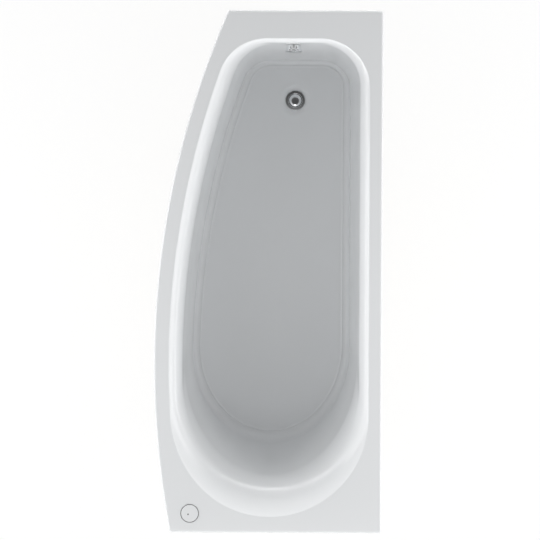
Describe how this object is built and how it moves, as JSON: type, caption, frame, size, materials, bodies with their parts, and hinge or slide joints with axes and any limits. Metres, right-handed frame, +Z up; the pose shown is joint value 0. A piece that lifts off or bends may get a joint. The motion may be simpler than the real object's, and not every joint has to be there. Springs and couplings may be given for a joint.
{
  "type": "single ended bathtub",
  "caption": "Space-saver bathtub with a bowed front, half-round back-rest end, pop-up waste, rotary overflow knob, under-bath cradle with height feet, and trap.",
  "frame": {"origin": "on the floor plane under the feet, below the middle of the rim's 1600 by 700 mm rectangle", "axes": "+X along the bath from the waste end to the head end, +Y towards the straight wall side, +Z up; the bowed front is at -Y"},
  "size_m": [1.6, 0.6999, 0.582],
  "materials": {
    "white_acrylic": "high gloss white",
    "glassfibre": "sprayed, rough",
    "chipboard": "raw chipboard",
    "softwood": "sawn softwood",
    "galvanised_steel": "galvanised",
    "zinc_fasteners": "zinc plated",
    "chrome": "polished chrome",
    "brass": "turned brass",
    "rubber": "matt rubber",
    "white_plastic": "gloss white",
    "grey_plastic": "moulded satin",
    "trap_plastic": "moulded white",
    "black_plastic": "moulded satin",
    "white_hose": "corrugated",
    "black_cable": "satin"
  },
  "bodies": {
    "root": {"acrylic_shell": "white_acrylic", "glassfibre_backing": "glassfibre", "baseboard": "chipboard", "rim_batten_back": "softwood", "rim_batten_tap_end": "softwood", "rim_batten_head_end": "softwood", "rim_batten_front": "softwood", "rim_cover_cap": "white_plastic", "cover_cap_washer": "rubber", "cover_cap_nut": "white_plastic", "wall_brackets": "galvanised_steel", "wall_bracket_screws": "zinc_fasteners", "baseboard_screws": "zinc_fasteners", "upright_screws": "zinc_fasteners", "upright_bolts": "zinc_fasteners", "upright_nuts": "zinc_fasteners", "foot_nuts": "zinc_fasteners", "cradle_bar_tap_end": "galvanised_steel", "cradle_bar_head_end": "galvanised_steel", "upright_tap_end_back": "galvanised_steel", "upright_tap_end_front": "galvanised_steel", "upright_head_end_back": "galvanised_steel", "upright_head_end_front": "galvanised_steel", "centre_foot_bracket": "galvanised_steel", "waste_flange": "chrome", "waste_flange_seal": "rubber", "waste_body_seal": "rubber", "waste_body": "grey_plastic", "overflow_seal": "rubber", "overflow_body": "grey_plastic", "overflow_faceplate": "white_plastic", "faceplate_screws": "zinc_fasteners", "overflow_hose": "white_hose", "plug_cable": "black_cable", "hose_collars": "grey_plastic", "trap_washer": "rubber", "trap_union_nut": "trap_plastic"},
    "knob": {"overflow_knob": "chrome", "knob_spindle": "brass", "cable_drum": "grey_plastic"},
    "lifter": {"plug_lifter": "brass"},
    "plug": {"plug_cap": "chrome", "plug_seal": "rubber", "plug_stem": "brass"},
    "trap": {"trap_body": "trap_plastic", "trap_cleaning_cap": "trap_plastic", "outlet_washer": "rubber", "outlet_nut": "trap_plastic"},
    "foot_1": {"foot_pad_1": "black_plastic", "foot_rod_1": "zinc_fasteners"},
    "foot_2": {"foot_pad_2": "black_plastic", "foot_rod_2": "zinc_fasteners"},
    "foot_3": {"foot_pad_3": "black_plastic", "foot_rod_3": "zinc_fasteners"},
    "foot_4": {"foot_pad_4": "black_plastic", "foot_rod_4": "zinc_fasteners"},
    "foot_5": {"foot_pad_5": "black_plastic", "foot_rod_5": "zinc_fasteners"}
  },
  "joints": [
    {"name": "knob_turn", "type": "hinge", "parent": "root", "child": "knob", "pos_m": [-0.70079, 0.075, 0.534], "axis": [0.9987, 0, 0.0502], "range_deg": [0, 90]},
    {"name": "lifter_slide", "type": "slide", "parent": "root", "child": "lifter", "axis": [0, 0, 1], "range_m": [0, 0.0081]},
    {"name": "plug_lift_out", "type": "slide", "parent": "lifter", "child": "plug", "axis": [0, 0, 1], "range_m": [0, 0.06]},
    {"name": "trap_swivel", "type": "hinge", "parent": "root", "child": "trap", "pos_m": [-0.556, 0.085, 0.1], "axis": [0, 0, 1], "range_deg": [-90, 90]},
    {"name": "foot_1_height", "type": "slide", "parent": "root", "child": "foot_1", "axis": [0, 0, 1], "range_m": [-0.03, 0.01]},
    {"name": "foot_2_height", "type": "slide", "parent": "root", "child": "foot_2", "axis": [0, 0, 1], "range_m": [-0.03, 0.01]},
    {"name": "foot_3_height", "type": "slide", "parent": "root", "child": "foot_3", "axis": [0, 0, 1], "range_m": [-0.03, 0.01]},
    {"name": "foot_4_height", "type": "slide", "parent": "root", "child": "foot_4", "axis": [0, 0, 1], "range_m": [-0.03, 0.01]},
    {"name": "foot_5_height", "type": "slide", "parent": "root", "child": "foot_5", "axis": [0, 0, 1], "range_m": [-0.03, 0.01]}
  ],
  "couplings": [
    {"joint": "lifter_slide", "follows": "knob_turn", "m_per_rad": 0.00509}
  ]
}
